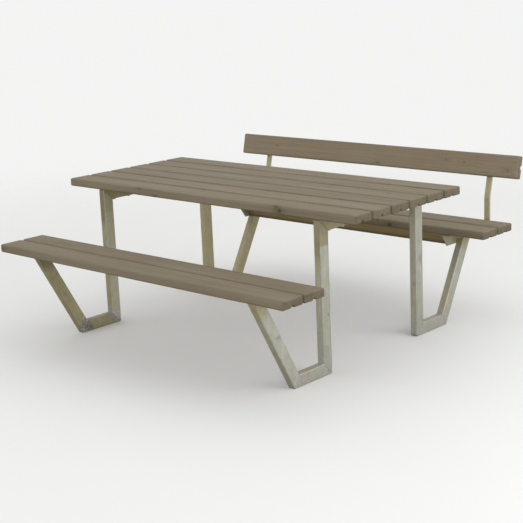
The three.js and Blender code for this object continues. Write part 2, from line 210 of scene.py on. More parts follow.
def wood(name, rng, knots, tone, greyness, fresh=0.0, darker_below=0.0):
    """Weathered softwood. x is along the grain. A knot is (x, y, z, radius, strength).

    Fresh wood is brown instead of grey. The last argument makes the rail darker towards its lower edge."""
    g = Graph(name, grain=True)
    seed = rng.uniform(0, 40)
    x, y, z = (g.node("SeparateXYZ", {0: g.position}).outputs[i] for i in range(3))

    # Growth rings round a pith that lies outside the plank and wanders along it.
    pith_y = rng.uniform(-0.03, 0.03)
    pith_z = rng.choice((-1, 1)) * rng.uniform(0.045, 0.10)
    wander = g.centred(g.noise((1.1, 5, 5), seed, 2), 0.020)
    wobble = g.centred(g.noise((5, 30, 30), seed + 7, 3), 0.0022)
    ring_y = g.total(y, -pith_y, wander)
    ring_z = g.total(z, -pith_z, wobble)
    radius = g.math("SQRT", g.total(g.times(ring_y, ring_y), g.times(ring_z, ring_z)))

    core, halo = 0.0, 0.0
    for kx, ky, kz, size, strength in knots:
        offset = g.vector("SUBTRACT", g.position, (kx, ky, kz))
        near = g.length(g.vector("MULTIPLY", offset, KNOT_STRETCH))
        along = g.length(g.vector("MULTIPLY", offset, HALO_STRETCH))
        rough_edge = g.noise((90, 90, 90), seed + size * 900, 2)
        ragged = g.total(near, g.centred(rough_edge, size * 0.35))
        core = g.math("MAXIMUM", core, g.spread(ragged, size * 0.7, size * 1.1, strength, 0.0, True))
        halo = g.math("MAXIMUM", halo, g.spread(along, size * 0.8, size * 2.8, strength, 0.0, True))
        radius = g.total(radius, g.spread(along, size * 0.5, size * 3.2, size * 1.3, 0.0, True))

    ring = g.math("FRACT", g.math("DIVIDE", radius, RING_SPACING))
    late = g.spread(ring, 0.45, 0.95, 0.0, 1.0, True)
    late = g.times(late, g.spread(ring, 0.97, 1.0, 1.0, 0.0))

    fibre = g.noise((9, 620, 620), seed + 3, 3, 0.6)
    streak = g.noise((1.6, 85, 85), seed + 11, 3, 0.55)
    cloud = g.noise((2.2, 9, 9), seed + 19, 3)
    stain = g.noise((1.1, 16, 16), seed + 23, 4, 0.6)
    checks = g.noise((4.5, 260, 260), seed + 31, 2, 0.5)
    check_zone = g.spread(g.noise((2.4, 22, 22), seed + 37, 2), 0.52, 0.66)
    crack = g.times(g.spread(checks, 0.665, 0.70), check_zone)

    end = g.attribute("end")
    edge = g.attribute("edge")
    normal_z = g.node("SeparateXYZ", {0: g.node("TexCoord", {}).outputs["Normal"]}).outputs[2]
    under = g.spread(normal_z, -0.2, -0.85)
    grey = g.total(g.centred(cloud, 0.55), g.centred(fibre, 0.25), g.times(edge, 0.15), greyness)
    grey = g.math("SUBTRACT", grey, g.times(late, 0.18))
    color = g.mix(g.spread(grey, 0.0, 1.0), WOOD_BROWN, WOOD_GREY)
    color = g.mix(g.math("MAXIMUM", g.times(under, 0.7), fresh), color, WOOD_FRESH)
    shade = g.total(
        g.centred(fibre, 0.18),
        g.centred(streak, 0.20),
        g.centred(cloud, 0.16),
        g.centred(stain, 0.14 + 0.30 * fresh),
        g.times(late, -0.12),
        g.times(halo, -0.16),
        g.times(crack, -0.55),
        g.times(edge, -0.12),
        g.times(end, -0.36),
        # Darker towards the lower edge of the rail.
        g.spread(z, -0.030, -0.008, -darker_below, 0.0, True),
        tone,
    )
    color = g.tinted(color, shade)
    knot_ring = g.math("SINE", g.times(radius, TAU / KNOT_RING_SPACING))
    knot_color = g.tinted(KNOT_DARK[:3], g.spread(knot_ring, -1.0, 1.0, 0.6, 1.5))
    color = g.mix(core, color, knot_color)

    rough = g.total(g.centred(fibre, 0.10), g.centred(cloud, 0.08), g.times(core, -0.12), 0.72)
    height = g.total(
        g.times(fibre, 0.55),
        g.times(late, 0.30),
        g.times(crack, -1.2),
        g.times(core, 0.35),
    )
    g.feed(g.surface.inputs["Specular IOR Level"], 0.35)
    return g.finish(color, 0.0, rough, height, 0.0007)


ZINC_OLIVE = (0.465, 0.418, 0.245, 1)
ZINC_GREY = (0.445, 0.452, 0.388, 1)
ZINC_LILAC = (0.530, 0.520, 0.510, 1)
ZINC_SLATE = (0.320, 0.320, 0.275, 1)
# Dark olive next to the timber: partly a stain from it and partly painted shade.
ZINC_STAIN_AND_SHADE = (0.330, 0.288, 0.170, 1)
ZINC_DIRT = (0.170, 0.140, 0.090, 1)

# The heights between which the painted shade down the faces of the front uprights that look along y fades
# out, and that splashes from the ground reach.
PLUMB_SHADE_HEIGHTS = (0.44, 0.57)
SPLASH_HEIGHT = 0.12

# The x of the faces of the two end frames that look right, and the dark scuffs on them:
# x, y, z, length, how much longer than high, strength.
LEFT_FACE, RIGHT_FACE = -0.658, 0.693
SCUFFS = (
    (RIGHT_FACE, -0.693, 0.244, 0.014, 1.8, 0.30),
    (RIGHT_FACE, 0.286, 0.364, 0.015, 0.6, 0.20),
    (RIGHT_FACE, 0.278, 0.248, 0.020, 9.0, 0.20),
    (RIGHT_FACE, -0.378, 0.262, 0.008, 1.2, 0.30),
    (LEFT_FACE, -0.588, 0.036, 0.028, 1.0, 0.30),
    (LEFT_FACE, -0.556, 0.020, 0.014, 1.0, 0.34),
    (LEFT_FACE, -0.692, 0.214, 0.010, 0.8, 0.16),
)


def galvanised(name, metallic, run_scale, plumb_painted_light):
    """Hot-dip zinc: olive to grey clouds, faint spangle, runs, scuffs, and lilac skin round the welds.

    Attributes: "clean" shifts it from olive to grey, "weld" is 1 at a weld, and "stain" is 1 next to
    timber, where it paints a stain from the timber together with painted shade. The front uprights get
    painted shade down their narrow faces, "dim" darkens those as painted shade, and "light" lightens or
    darkens all faces as painted light and shade; the narrow faces are also painted lighter, and darker
    where stained."""
    g = Graph(name)
    clouds = g.noise((14, 14, 9), 2, 4, 0.6)
    patches = g.noise((38, 38, 26), 9, 3, 0.6)
    mottle = g.noise((150, 150, 150), 15, 3, 0.65)
    runs = g.noise(run_scale, 5, 3, 0.6)
    grain = g.noise((700, 700, 700), 1, 2)
    cells = g.node("TexVoronoi", {"Vector": g.position, "Scale": 95.0, "Randomness": 1.0})
    spangle = g.node("SeparateXYZ", {0: cells.outputs["Color"]}).outputs[0]
    ragged = g.total(g.attribute("weld"), g.centred(patches, 0.5), g.centred(mottle, 0.35))
    weld = g.spread(ragged, 0.30, 0.75, 0.0, 1.0, True)
    height_above_ground = g.node("SeparateXYZ", {0: g.position}).outputs[2]
    normal = g.node("SeparateXYZ", {0: g.node("TexCoord", {}).outputs["Normal"]})
    sideways = g.math("ABSOLUTE", normal.outputs[0])
    narrow_face = g.spread(g.math("ABSOLUTE", normal.outputs[1]), 0.95, 1.0)
    # Painted shade down the faces of the front uprights that look along y, fading out below the timber.
    plumb_shade_mask = g.times(g.attribute("plumb_shade"), g.spread(height_above_ground, *PLUMB_SHADE_HEIGHTS))
    plumb_shade_mask = g.times(plumb_shade_mask, narrow_face)
    # Next to the timber the zinc is stained and also painted with shade, and the front uprights' faces
    # along y get painted shade.
    stain_and_shade_mask = g.math("MAXIMUM", g.attribute("stain"), plumb_shade_mask)
    blotched = g.total(stain_and_shade_mask, g.centred(clouds, 0.30), g.centred(mottle, 0.15))
    stain = g.times(g.spread(blotched, 0.15, 0.75, 0.0, 1.0, True), 0.85)
    splash = g.spread(height_above_ground, 0.0, SPLASH_HEIGHT, 1.0, 0.0)
    splash = g.times(splash, g.spread(patches, 0.42, 0.7))
    scuffs = g.times(g.spread(g.noise((45, 45, 30), 33, 4, 0.65), 0.62, 0.70), 0.26)
    for x, y, z, size, flatness, strength in SCUFFS:
        offset = g.vector("MULTIPLY", g.vector("SUBTRACT", g.position, (x, y, z)), (1, 1, flatness))
        away = g.total(g.length(offset), g.centred(mottle, size * 1.6))
        scuffs = g.math("MAXIMUM", scuffs, g.spread(away, size * 0.6, size * 1.2, strength, 0.0))
    side_face = g.times(sideways, 0.35)
    # Painted light: faces that look along y are made lighter, and where stained they are made darker as
    # painted shade.
    painted_plumb_shading = g.times(narrow_face, plumb_painted_light)
    painted_plumb_shading = g.times(painted_plumb_shading, g.spread(stain, 0.0, 1.0, 1.0, -0.3))
    # Painted shade on the faces that do not look along x, on the tubes that carry it.
    side_painted_shade = g.times(g.attribute("dim"), g.spread(sideways, 0.3, 0.9, -1, 0))
    clean = g.total(g.centred(clouds, 0.8), g.centred(patches, 0.5), side_face, g.attribute("clean"))

    color = g.mix(g.spread(clean, 0.0, 0.7), ZINC_OLIVE, ZINC_GREY)
    color = g.mix(g.spread(runs, 0.55, 0.72, 0.0, 0.35), color, ZINC_LILAC)
    # Partly timber stain, partly painted shade.
    color = g.mix(stain, color, ZINC_STAIN_AND_SHADE)
    skin = g.mix(g.spread(mottle, 0.40, 0.56), ZINC_SLATE, ZINC_LILAC)
    color = g.mix(g.times(weld, 0.75), color, skin)
    color = g.mix(g.times(splash, 0.30), color, ZINC_DIRT)
    shade = g.total(
        g.centred(patches, 0.16),
        g.centred(mottle, 0.12),
        g.centred(spangle, 0.035),
        g.centred(grain, 0.04),
        g.centred(runs, 0.10),
        g.times(scuffs, -1.0),
        painted_plumb_shading,
        side_painted_shade,
        # Painted light and shade, the same on all faces of a tube.
        g.attribute("light"),
        1.0,
    )
    rough = g.total(g.centred(patches, 0.20), g.centred(spangle, 0.05), g.times(weld, 0.08), 0.50)
    bumps = g.total(
        g.times(clouds, 0.6),
        g.times(runs, 0.5),
        g.times(grain, 0.06),
        g.times(g.times(weld, mottle), 0.35),
    )
    return g.finish(g.tinted(color, shade), metallic, rough, bumps, 0.0012)


def zinc_plate():
    """Bright zinc plate on the screws, dulled by white bloom."""
    g = Graph("zinc_plate")
    bloom = g.noise((160, 160, 160), 4, 4, 0.6)
    scratches = g.noise((900, 900, 900), 8, 2)
    color = g.mix(g.spread(bloom, 0.4, 0.62), (0.52, 0.52, 0.50, 1), (0.66, 0.66, 0.63, 1))
    rough = g.total(g.centred(bloom, 0.25), g.centred(scratches, 0.1), 0.42)
    return g.finish(color, 0.85, rough, scratches, 0.0002)


# ---- Mesh building ----
def loft(name, rings, attributes=None, place=None):
    """A closed mesh through rings of points. Attributes map a name to one value per point.

    Where a place is given, the points move there and keep their own frame as "grain"."""
    mesh = bpy.data.meshes.new(name)
    count = len(rings[0])
    local = [Vector(point) for ring in rings for point in ring]
    vertices = [place @ point for point in local] if place else local
    faces = []
    for i in range(len(rings) - 1):
        for k in range(count):
            a, b = i * count + k, i * count + (k + 1) % count
            faces.append((a, b, b + count, a + count))
    last = (len(rings) - 1) * count
    faces.append(tuple(reversed(range(count))))
    faces.append(tuple(range(last, last + count)))
    mesh.from_pydata(vertices, [], faces)
    for key, values in (attributes or {}).items():
        layer = mesh.attributes.new(key, "FLOAT", "POINT")
        layer.data.foreach_set("value", values)
    if place:
        grain = mesh.attributes.new("grain", "FLOAT_VECTOR", "POINT")
        grain.data.foreach_set("vector", [value for point in local for value in point])
    work = bmesh.new()
    work.from_mesh(mesh)
    bmesh.ops.recalc_face_normals(work, faces=work.faces)
    work.to_mesh(mesh)
    work.free()
    mesh.polygons.foreach_set("use_smooth", [True] * len(mesh.polygons))
    mesh.set_sharp_from_angle(angle=SHARP_ANGLE)
    piece = bpy.data.objects.new(name, mesh)
    bpy.context.scene.collection.objects.link(piece)
    return piece


def dress(piece, material, slot, *nodes):
    piece.data.materials.append(material)
    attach(piece, "root")
    if nodes:
        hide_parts(*nodes)


def arc(centre, radius, start, end, steps):
    """Points of an arc, in a plane, from one angle to another."""
    points = []
    for i in range(steps + 1):
        angle = start + (end - start) * i / steps
        points.append(centre + radius * Vector((math.cos(angle), math.sin(angle))))
    return points


def split_long(points, step):
    """Adds points to a closed outline so that no side is much longer than step."""
    result = []
    for i, point in enumerate(points):
        following = points[(i + 1) % len(points)]
        parts = max(1, round((following - point).length / step))
        result += [point.lerp(following, k / parts) for k in range(parts)]
    return result


def rounded_rectangle(width, height, radius, steps=5, support=0.0015):
    """A rectangle with round corners, and a point on each side close to every corner."""
    points = []
    for quarter, (sx, sy) in enumerate(((1, 1), (-1, 1), (-1, -1), (1, -1))):
        centre = Vector((sx * (width / 2 - radius), sy * (height / 2 - radius)))
        start = quarter * math.pi / 2
        corner = arc(centre, radius, start, start + math.pi / 2, steps)
        before = Vector((-math.sin(start), math.cos(start))) * -support
        after = Vector((-math.cos(start), -math.sin(start))) * support
        points += [corner[0] + before] + corner + [corner[-1] + after]
    return points


# ---- Planks ----
def bezier(a, b, c, d, steps):
    points = []
    for i in range(steps + 1):
        t = i / steps
        points.append((1 - t) ** 3 * a + 3 * t * (1 - t) ** 2 * b + 3 * t * t * (1 - t) * c + t**3 * d)
    return points


def plank_outline(width, thickness):
    """The section in y and z: round arrises, and a relief groove in the middle of the underside."""
    w, t, r, h = width / 2, thickness / 2, PLANK_ARRIS, GROOVE_HALF_WIDTH
    top = Vector((0, -t + GROOVE_DEPTH))
    left, right = Vector((-h, -t)), Vector((h, -t))
    inward = Vector((h / 2, 0))
    points = bezier(left, left + inward, top - inward, top, GROOVE_STEPS)[:-1]
    points += bezier(top, top + inward, right - inward, right, GROOVE_STEPS)
    for quarter, (sy, sz) in enumerate(((1, -1), (1, 1), (-1, 1), (-1, -1)), start=-1):
        centre = Vector((sy * (w - r), sz * (t - r)))
        start = quarter * math.pi / 2
        points += arc(centre, r, start, start + math.pi / 2, PLANK_ARRIS_STEPS)
    return split_long(points, PLANK_POINT_STEP)


def inward_normals(outline):
    """The unit normals of a closed outline that runs anticlockwise, pointing inwards."""
    normals = []
    for i in range(len(outline)):
        along = outline[(i + 1) % len(outline)] - outline[i - 1]
        normals.append(Vector((-along.y, along.x)).normalized())
    return normals


def plank_mesh(name, length, width, thickness, place, seed):
    """A plank in its own frame: x along it, z towards the face that has no groove."""
    outline = plank_outline(width, thickness)
    normals = inward_normals(outline)
    edges = []
    for point in outline:
        past = max(0.0, abs(point.x) - (width / 2 - 2 * PLANK_ARRIS)) / (2 * PLANK_ARRIS)
        high = max(0.0, abs(point.y) - (thickness / 2 - PLANK_ARRIS)) / PLANK_ARRIS
        edges.append(min(past, 0.3 + high))
    half = length / 2
    stations = []
    for i in range(PLANK_END_STEPS + 1):
        share = i / PLANK_END_STEPS
        angle = share * math.pi / 2
        reach = PLANK_END_RADIUS * (1 - math.sin(angle))
        stations.append((half - reach, PLANK_END_RADIUS * (1 - math.cos(angle)), share))
    span = half - PLANK_END_RADIUS - PLANK_END_GAP
    middle = [span - 2 * span * i / PLANK_STATIONS for i in range(PLANK_STATIONS + 1)]
    course = [(-x, inset, end) for x, inset, end in reversed(stations)]
    course += [(x, 0.0, 0.0) for x in reversed(middle)]
    course += stations
    rings, edge_values, end_values = [], [], []
    for x, inset, end in course:
        ring = []
        for point, normal, edge in zip(outline, normals, edges):
            over, up = point * HUMPS_ACROSS
            probe = Vector((x * HUMPS_ALONG + seed, over, up + seed))
            dip = PLANK_UNEVENNESS * (0.5 + 0.5 * noise.noise(probe)) * (1 + edge)
            moved = point + normal * (inset + dip)
            ring.append((x, moved.x, moved.y))
        rings.append(ring)
        edge_values += edges
        end_values += [end] * len(outline)
    return loft(name, rings, {"edge": edge_values, "end": end_values}, place)


# The large knots: x, y and z in the plank's own frame, radius and strength.
KNOTS = {
    "table_plank_1": [
        (0.483, -0.060, 0.005, 0.020, 0.25),
        (0.493, -0.060, -0.001, 0.0095, 1.0),
        (0.472, -0.058, 0.017, 0.0075, 0.9),
        (-0.379, -0.059, 0.016, 0.0055, 0.8),
        (-0.272, -0.060, -0.011, 0.0050, 0.8),
    ],
    "front_seat_plank_2": [(-0.862, -0.060, 0.001, 0.006, 0.7)],
    "rear_seat_plank_1": [(0.352, -0.060, -0.004, 0.010, 0.9)],
    "backrest_plank": [(0.588, 0.004, 0.019, 0.006, 0.5), (0.833, -0.018, 0.019, 0.006, 0.5)],
}


def random_knots(rng, width):
    knots = []
    for _ in range(rng.choice((1, 2, 2, 3))):
        x = rng.uniform(-0.82, 0.82)
        y = rng.uniform(-0.42, 0.42) * width
        z = rng.choice((PLANK_FACE_Z, PLANK_FACE_Z, -PLANK_FACE_Z))
        knots.append((x, y, z, rng.uniform(0.0035, 0.0075), rng.uniform(0.35, 0.7)))
    return knots


def plank(node, index, tone, greyness):
    rng = random.Random(100 + index)
    low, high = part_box(node)
    centre = (low + high) / 2
    size = high - low
    if node == "backrest_plank":
        width, thickness = BACKREST_WIDTH, BACKREST_THICKNESS
        place = Matrix.Translation(centre) @ Matrix.Rotation(math.pi / 2 - BACKREST_LEAN, 4, "X")
    else:
        width, thickness = size.y, size.z
        place = Matrix.Translation(centre)
    knots = KNOTS.get(node, []) + random_knots(rng, width)
    piece = plank_mesh(node + "_wood", size.x, width, thickness, place, index * 3.1)
    dress(piece, wood(node + "_wood", rng, knots, tone, greyness), "wood_planks", node)


def seat_rail():
    low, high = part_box("rear_seat_rail")
    centre, size = (low + high) / 2, high - low
    outline = split_long(rounded_rectangle(size.y, size.z, PLANK_ARRIS, 7), PLANK_POINT_STEP)
    rings, edges = [], []
    for i in range(PLANK_STATIONS + 1):
        x = (i / PLANK_STATIONS - 0.5) * size.x
        rings.append([(x, p.x, p.y) for p in outline])
        edges += [0.0] * len(outline)
    ends = [float(i in (0, PLANK_STATIONS)) for i in range(PLANK_STATIONS + 1) for _ in outline]
    place = Matrix.Translation(centre)
    piece = loft("rear_seat_rail_wood", rings, {"edge": edges, "end": ends}, place)
    rng = random.Random(7)
    knots = random_knots(rng, size.y)
    material = wood(piece.name, rng, knots, tone=1.68, greyness=0.15, fresh=0.85, darker_below=1.0)
    dress(piece, material, "wood_rail", "rear_seat_rail")


# ---- End frames ----
def frame_line(side):
    """The centre line of an end frame in y and z, from the front bench to the rear bench."""
    half = TUBE_DEPTH / 2
    halves = {}
    for bench, b in BENCHES.items():
        outer = 1 if b > 0 else 0
        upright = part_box(f"{side}_{bench}_upright")
        foot_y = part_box(f"{side}_{bench}_foot_bar")[outer].y
        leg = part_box(f"{side}_{bench}_slanted_leg")
        slope = leg_slope(side, bench)[0]
        inset = b * half * math.hypot(1, slope)
        upright_y = (upright[0].y + upright[1].y) / 2
        halves[bench] = [
            Vector((upright_y, upright[1].z - half)),
            Vector((upright_y, half)),
            Vector((foot_y - inset + half * slope, half)),
            Vector((foot_y - inset + leg[1].z * slope, leg[1].z)),
        ]
    return halves["front"][::-1] + halves["rear"]


def mitre(direction, neighbour):
    """How far the cut between two tubes leans along each tube, per unit across it."""
    cut = direction + neighbour
    across = Vector((-direction.y, direction.x))
    return -across.dot(cut) / direction.dot(cut)


FRAME_TUBES = (
    "front_slanted_leg",
    "front_foot_bar",
    "front_upright",
    "table_bar",
    "rear_upright",
    "rear_foot_bar",
    "rear_slanted_leg",
)


# How far a tube's zinc leans from olive (negative) to grey, where it isn't as usual.
USUALLY_CLEAN = 0.4
CLEAN = {
    "left_front_slanted_leg": -0.50,
    "left_front_foot_bar": -0.50,
    "left_front_upright": 0.05,
    "left_table_bar": -0.60,
    "right_table_bar": -0.40,
    "left_rear_upright": -0.40,
    "left_rear_foot_bar": -0.30,
    "left_rear_slanted_leg": -0.35,
}

# How far the lilac skin has formed round the welds.
WELD_SKIN = {"left": 1.0, "right": 0.68}

# How much more olive the zinc of a slanted leg is next to the timber: painted shade with the warm light
# the planks throw back.
OLIVE_SHADE_NEAR_TIMBER = 0.8

# How strongly a tube is darkened next to the timber, partly as a stain from it and partly as painted
# shade, where it is not fully.
STAIN_AND_SHADE = {
    "right_front_upright": 0.85,
    "left_front_upright": 0.45,
    "right_rear_upright": 0.38,
    "right_front_slanted_leg": 0.2,
    "right_rear_slanted_leg": 0.5,
    "left_table_bar": 0.4,
    "right_table_bar": 0.75,
}

# How much painted shade darkens a tube on the faces that look along y.
DIM = {"left_front_upright": 0.42, "right_front_upright": 0.03}

# How much painted light lightens a tube all round; a negative value darkens it as painted shade.
TUBE_PAINTED_LIGHT = {
    "left_front_slanted_leg": -0.08,
    "left_front_foot_bar": -0.24,
    "left_front_upright": 0.16,
    "right_front_slanted_leg": 0.09,
    "right_front_upright": -0.05,
    "right_rear_upright": -0.05,
}


def bead(path, closed, seed):
    """A weld bead along a path, with ripples, that stays off the ground."""
    rings = []
    count = len(path)
    for i, point in enumerate(path):
        ahead = path[(i + 1) % count] if closed or i < count - 1 else path[i]
        behind = path[i - 1] if closed or i > 0 else path[i]
        along = (ahead - behind).normalized()
        side = along.orthogonal().normalized()
        up = along.cross(side)
        uneven = noise.noise(point * 300 + Vector((seed, 0, 0)))
        grown = BEAD_RADIUS * (1 + 0.16 * math.sin(i * 2.4) + 0.12 * uneven)
        if not closed and i in (0, count - 1):
            grown *= BEAD_END_TAPER
        ring = []
        for k in range(BEAD_SIDES):
            turn = k / BEAD_SIDES * TAU
            spot = point + (side * math.cos(turn) + up * math.sin(turn)) * grown
            spot.z = max(spot.z, BEAD_GROUND_GAP)
            ring.append(spot)
        rings.append(ring)
    return rings


def resample(points, step, closed):
    """Evenly spaced points along a path."""
    ring = points + [points[0]] if closed else points
    result = []
    for a, b in zip(ring, ring[1:]):
        parts = max(1, round((b - a).length / step))
        result += [a.lerp(b, k / parts) for k in range(parts)]
    if not closed:
        result.append(ring[-1])
    return result


def bead_mesh(name, paths, material):
    """One mesh for the weld beads of an end frame. Each path is (points, closed)."""
    work = bmesh.new()
    for seed, (points, closed) in enumerate(paths):
        rings = bead(resample(points, BEAD_RIPPLE_LENGTH / 2, closed), closed, seed)
        made = [[work.verts.new(p) for p in ring] for ring in rings]
        pairs = list(zip(made, made[1:]))
        if closed:
            pairs.append((made[-1], align(made[-1], made[0])))
        for first, second in pairs:
            for k in range(BEAD_SIDES):
                following = (k + 1) % BEAD_SIDES
                work.faces.new((first[k], first[following], second[following], second[k]))
        if not closed:
            work.faces.new(made[0][::-1])
            work.faces.new(made[-1])
    bmesh.ops.recalc_face_normals(work, faces=work.faces)
    mesh = bpy.data.meshes.new(name)
    work.to_mesh(mesh)
    work.free()
    mesh.polygons.foreach_set("use_smooth", [True] * len(mesh.polygons))
    # High beads get less weld skin, and the stain and painted shade of the tube tops next to the timber.
    for key, low, high in (("weld", 1.0, 0.1), ("stain", 0.0, 0.6)):
        layer = mesh.attributes.new(key, "FLOAT", "POINT")
        values = [high if vertex.co.z > STAIN_AND_SHADE_BEAD_HEIGHT else low for vertex in mesh.vertices]
        layer.data.foreach_set("value", values)
    piece = bpy.data.objects.new(name, mesh)
    bpy.context.scene.collection.objects.link(piece)
    dress(piece, material, "galvanised_tube")


def align(first, second):
    """Turns the last ring of a closed bead so that it joins the first without a twist."""
    turned = [ring[s:] + ring[:s] for ring in (second, second[::-1]) for s in range(len(second))]
    return min(turned, key=lambda ring: sum((a.co - b.co).length for a, b in zip(first, ring)))


class Station(NamedTuple):
    """A ring of a tube, at a distance back from its end.

    Its outer corner is ground in by some length, and lean is the share of the cut's lean that it keeps."""

    back: float
    ground: float = 0.0
    lean: float = 1.0
    weld: float = 0.0
    # Stain next to the timber, partly painted shade.
    stain: float = 0.0


# The zinc is lilac round the foot corners, and darker next to the planks, partly as a stain from the
# timber and partly as painted shade.
FREE_END = [Station(0.0, weld=0.2, stain=0.9), Station(0.045, stain=0.75), Station(0.120)]
BEHIND_FOOT_CORNER = [Station(0.018, weld=1.0), Station(0.032, weld=0.75), Station(0.045)]
BEHIND_TABLE_CORNER = [
    Station(0.022, stain=1.0),
    Station(0.083, lean=0.0, stain=1.0),
    Station(0.089, lean=0.0),
]


def tube_end(turn, at_foot):
    """The stations back from an end where the frame turns by an angle. It is 0 at a free end."""
    if turn == 0:
        return FREE_END
    # Table corners take the stain and painted shade next to the timber.
    weld, stain = (1.0, 0.0) if at_foot else (0.2, 1.0)
    corner = []
    for k in range(GROUND_STEPS, -1, -1):
        spin = turn / 2 * k / GROUND_STEPS
        back = GROUND_CORNER * (math.tan(turn / 2) * math.cos(spin) - math.sin(spin))
        corner.append(Station(back, GROUND_CORNER * (1 - math.cos(spin)), 1.0, weld, stain))
    return corner + (BEHIND_FOOT_CORNER if at_foot else BEHIND_TABLE_CORNER)


def end_frame(side, tube_material):
    """Seven tubes with mitred ends and ground corners. Returns the paths of the weld beads."""
    line = frame_line(side)
    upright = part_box(f"{side}_front_upright")
    x = (upright[0].x + upright[1].x) / 2
    half = TUBE_DEPTH / 2
    section = rounded_rectangle(TUBE_WIDTH, TUBE_DEPTH, TUBE_CORNER)
    directions = [(b - a).normalized() for a, b in zip(line, line[1:])]
    level = Vector((0, 1))
    beads = []
    for i, tube in enumerate(FRAME_TUBES):
        node = f"{side}_{tube}"
        direction = directions[i]
        across = Vector((-direction.y, direction.x))
        length = (line[i + 1] - line[i]).length
        clean, stain_and_shade_strength = CLEAN.get(node, USUALLY_CLEAN), STAIN_AND_SHADE.get(node, 1.0)
        steady = {
            # Only the front uprights get painted shade down the faces that look along y.
            "plumb_shade": 1.0 if tube == "front_upright" else 0.0,
            "dim": DIM.get(node, 0.0),
            "light": TUBE_PAINTED_LIGHT.get(node, 0.0),
        }
        looks = {key: [] for key in ("weld", "clean", "stain", *steady)}
        rings = []
        for end, neighbour in ((0, i - 1), (1, i + 1)):
            if 0 <= neighbour < len(directions):
                lean = mitre(direction, directions[neighbour])
                stations = tube_end(direction.angle(directions[neighbour]), line[i + end].y < TUBE_DEPTH)
                olive = 0.0
            else:
                lean = -across.dot(level) / direction.dot(level)
                stations = tube_end(0, False)
                # Painted shade and warm bounce light at the free end under the planks.
                olive = OLIVE_SHADE_NEAR_TIMBER
            outer = math.copysign(1, lean) * (1 if end else -1)
            for station in stations[::-1] if end else stations:
                reach = length - station.back if end else station.back
                ring = []
                for point in section:
                    y = point.y - outer * station.ground * max(0.0, outer * point.y / half)
                    at = line[i] + direction * (reach + y * lean * station.lean) + across * y
                    ring.append(Vector((x + point.x, at.x, at.y)))
                rings.append(ring)
                # Next to the timber the zinc is darker and more olive, partly as a stain from it and
                # partly as painted shade.
                values = {
                    "weld": station.weld * WELD_SKIN[side],
                    "clean": clean - olive * station.stain,
                    "stain": stain_and_shade_strength if tube == "table_bar" else station.stain * stain_and_shade_strength,
                    **steady,
                }
                for key, value in values.items():
                    looks[key] += [value] * len(section)
        dress(loft(node + "_tube", rings, looks), tube_material, "galvanised_tube", node)
        if i < len(FRAME_TUBES) - 1:
            beads.append((rings[-1], True))
    return beads


# ---- Seat angles, posts and screws ----
def leg_slope(side, bench):
    """How far a slanted leg runs along y per unit of height, and the y of its outer face on the ground."""
    outer = 1 if bench == "rear" else 0
    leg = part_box(f"{side}_{bench}_slanted_leg")
    foot_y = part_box(f"{side}_{bench}_foot_bar")[outer].y
    return (leg[outer].y - foot_y) / leg[1].z, foot_y


def seat_plate(side, material):
    """The flat plate between a slanted leg and the front bench, with eased edges."""
    node = f"{side}_front_seat_plate"
    low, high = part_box(node)
    centre, size = (low + high) / 2, high - low
    section = rounded_rectangle(size.x, size.z, PLATE_CORNER, 3, 0.001)
    ease = PLATE_CORNER
    rings, weld = [], []
    for y, inset in ((low.y, ease), (low.y + ease, 0), (high.y - ease, 0), (high.y, ease)):
        shrink = Vector((1 - 2 * inset / size.x, 1 - 2 * inset / size.z))
        ring = [point * shrink for point in section]
        rings.append([Vector((centre.x + point.x, y, centre.z + point.y)) for point in ring])
        weld += [0.4 if y < centre.y else 0.0] * len(section)
    dress(loft(node + "_steel", rings, {"weld": weld}), material, "galvanised_tube", node)


def seat_angle(side, material):
    """A steel angle with round toes and a root fillet, cut to a nose inwards and to the leg outwards."""
    node = f"{side}_rear_seat_angle"
    low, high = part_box(node)
    s = SIDES[side]
    width, height, t = high.x - low.x, high.z - low.z, SEAT_STEEL_THICKNESS
    slope = leg_slope(side, "rear")[0]
    toe, root, heel, edge = ANGLE_TOE, ANGLE_ROOT, ANGLE_HEEL, ANGLE_EDGE
    outline = [Vector(at) for at in ((heel, 0), (0, -heel), (0, -height + edge), (edge, -height))]
    outline += arc(Vector((t - toe, -height + toe)), toe, -math.pi / 2, 0, 4)
    outline += arc(Vector((t + root, -t - root)), root, math.pi, math.pi / 2, 4)
    outline += arc(Vector((width - toe, -t + toe)), toe, -math.pi / 2, 0, 4)
    outline += [Vector((width, -edge)), Vector((width - edge, 0))]
    inner_x = low.x if s > 0 else high.x
    rings, weld = [], []
    for i in range(ANGLE_STEPS + 1):
        share = i / ANGLE_STEPS
        ring = []
        for point in outline:
            start = low.y - point.y / height * ANGLE_NOSE
            end = high.y + point.y * slope
            ring.append(Vector((inner_x + s * point.x, start + (end - start) * share, high.z + point.y)))
        rings.append(ring)
        weld += [max(0.0, 2 * share - 1) * 0.6] * len(outline)
    dress(loft(node + "_steel", rings, {"weld": weld}), material, "galvanised_tube", node)


def seat_steel_beads(side, bench):
    """The welds that hold a seat plate or seat angle on its leg."""
    s, b = SIDES[side], BENCHES[bench]
    slope, foot_y = leg_slope(side, bench)
    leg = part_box(f"{side}_{bench}_slanted_leg")
    depth = b * TUBE_DEPTH * math.hypot(1, slope)
    outer_y = foot_y + b * abs(slope) * leg[1].z
    left, right = leg[0].x + BEAD_END_INSET, leg[1].x - BEAD_END_INSET
    beads = []
    for y in (outer_y, outer_y - depth):
        beads.append(([Vector((left, y, leg[1].z)), Vector((right, y, leg[1].z))], False))
    if bench == "rear":
        flange_x = leg[0].x if s > 0 else leg[1].x
        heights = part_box(f"{side}_rear_seat_angle")[0].z + BEAD_END_INSET, leg[1].z - BEAD_END_INSET
        for inset in (BEAD_END_INSET, depth):
            beads.append(([Vector((flange_x, foot_y + slope * z - inset, z)) for z in heights], False))
    return beads


